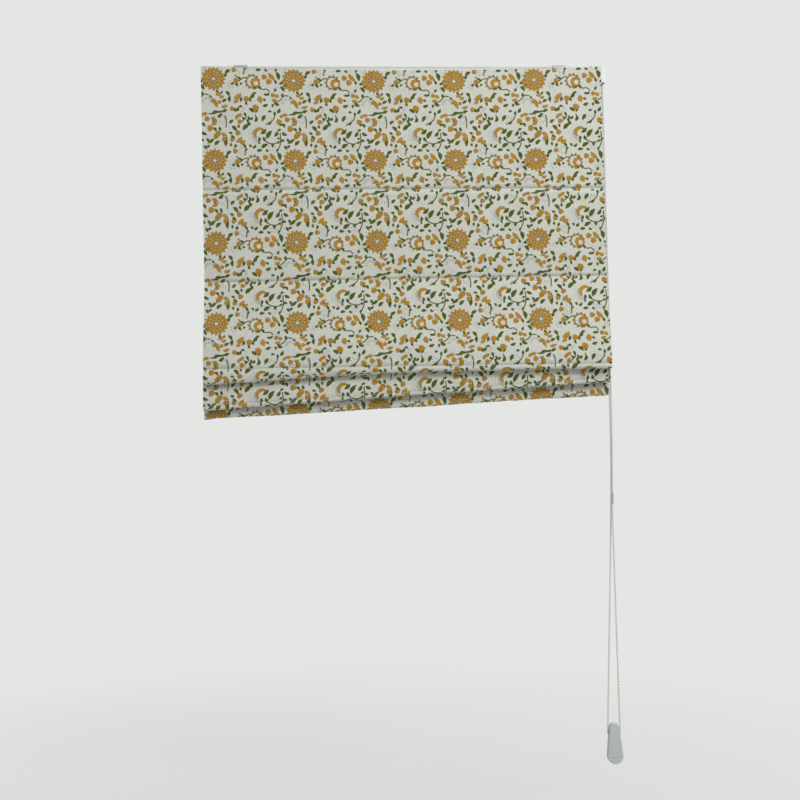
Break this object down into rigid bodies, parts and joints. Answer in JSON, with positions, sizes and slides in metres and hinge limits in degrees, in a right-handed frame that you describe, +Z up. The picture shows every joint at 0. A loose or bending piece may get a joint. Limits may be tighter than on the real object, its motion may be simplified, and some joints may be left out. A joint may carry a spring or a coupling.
{
  "type": "roman blind",
  "caption": "Half-raised roman blind of printed cotton: clip-on headrail with cord drums, rods in sewn pockets, lift cords, bottom bar and a bead chain with a weight.",
  "frame": {"origin": "centre of the four fixing holes of the two clip brackets, on the plane that they are screwed up against", "axes": "+X along the headrail towards the chain, -Y out into the room, +Z up"},
  "size_m": [0.9236, 0.0866, 1.5276],
  "materials": {
    "white_rail": "white powder coat",
    "zinc_steel": "zinc plated",
    "spring_steel": "oiled spring wire",
    "shaft_aluminium": "mill finish",
    "bar_aluminium": "mill finish",
    "white_plastic": "moulded white",
    "grey_plastic": "moulded grey",
    "ring_plastic": "milky",
    "clear_plastic": "clear moulded",
    "white_beads": "moulded off-white",
    "white_cord": "braided",
    "white_tape": "hook and loop",
    "fibre_rod": "glass fibre",
    "printed_cloth": "printed cotton, olive and mustard flowers on off-white"
  },
  "bodies": {
    "headrail": {"headrail": "white_rail", "bracket_left": "zinc_steel", "bracket_right": "zinc_steel", "rail_end_cap": "white_plastic", "control_housing": "white_plastic", "control_cover": "white_plastic", "clutch_hub": "grey_plastic", "clutch_spring": "spring_steel", "hook_strip": "white_tape", "loop_strip": "white_tape", "face_cloth": "printed_cloth", "drum_cradle_left": "white_plastic", "drum_cradle_centre": "white_plastic", "drum_cradle_right": "white_plastic", "lift_cord_left": "white_cord", "lift_cord_centre": "white_cord", "lift_cord_right": "white_cord", "bead_chain": "white_beads", "chain_connector": "clear_plastic", "weight_front": "white_plastic", "weight_back": "white_plastic", "weight_slug": "zinc_steel", "weight_screw": "zinc_steel"},
    "drive": {"drive_shaft": "shaft_aluminium", "shaft_end_bush": "grey_plastic", "chain_wheel": "grey_plastic", "cord_drum_left": "grey_plastic", "cord_drum_centre": "grey_plastic", "cord_drum_right": "grey_plastic"},
    "rod_1": {"fold_rod_1": "fibre_rod"},
    "upper_stack": {"fold_rod_2": "fibre_rod", "cord_ring_2_left": "ring_plastic", "cord_ring_2_centre": "ring_plastic", "cord_ring_2_right": "ring_plastic"},
    "rod_3": {"fold_rod_3": "fibre_rod"},
    "middle_stack": {"fold_rod_4": "fibre_rod", "cord_ring_4_left": "ring_plastic", "cord_ring_4_centre": "ring_plastic", "cord_ring_4_right": "ring_plastic"},
    "rod_5": {"fold_rod_5": "fibre_rod"},
    "bottom_stack": {"fold_rod_6": "fibre_rod", "cord_ring_6_left": "ring_plastic", "cord_ring_6_centre": "ring_plastic", "cord_ring_6_right": "ring_plastic", "cord_stop_left": "white_plastic", "cord_stop_centre": "white_plastic", "cord_stop_right": "white_plastic", "bottom_bar": "bar_aluminium", "bar_cap_left": "white_plastic", "bar_cap_right": "white_plastic"}
  },
  "joints": [
    {"name": "raise", "type": "slide", "parent": "rod_1", "child": "upper_stack", "axis": [0, 0.1339, 0.991], "range_m": [0, 0.37336], "deforming": ["face_cloth", "lift_cord_left", "lift_cord_centre", "lift_cord_right"]},
    {"name": "rod_1_forward", "type": "slide", "parent": "headrail", "child": "rod_1", "axis": [0, -1, 0], "range_m": [0, 0.05003]},
    {"name": "rod_3_back", "type": "slide", "parent": "upper_stack", "child": "rod_3", "axis": [0, 1, 0], "range_m": [0, 0.03802]},
    {"name": "lower", "type": "slide", "parent": "rod_3", "child": "middle_stack", "axis": [0, -0.1198, -0.9928], "range_m": [0, 0.31728]},
    {"name": "rod_5_back", "type": "slide", "parent": "middle_stack", "child": "rod_5", "axis": [0, 1, 0], "range_m": [0, 0.02301]},
    {"name": "bottom_lower", "type": "slide", "parent": "rod_5", "child": "bottom_stack", "axis": [0, -0.0607, -0.9982], "range_m": [0, 0.37889]},
    {"name": "drive_turn", "type": "hinge", "parent": "headrail", "child": "drive", "pos_m": [0, 0, -0.021], "axis": [1, 0, 0], "range_deg": [0, 4074.44], "deforming": ["bead_chain"]}
  ],
  "couplings": [
    {"joint": "rod_1_forward", "follows": "raise", "ratio": 0.13392},
    {"joint": "rod_3_back", "follows": "lower", "ratio": 0.11977},
    {"joint": "rod_5_back", "follows": "lower", "ratio": 0.07249},
    {"joint": "bottom_lower", "follows": "lower", "ratio": 1.1936},
    {"joint": "drive_turn", "follows": "lower", "rad_per_m": 224.02}
  ]
}
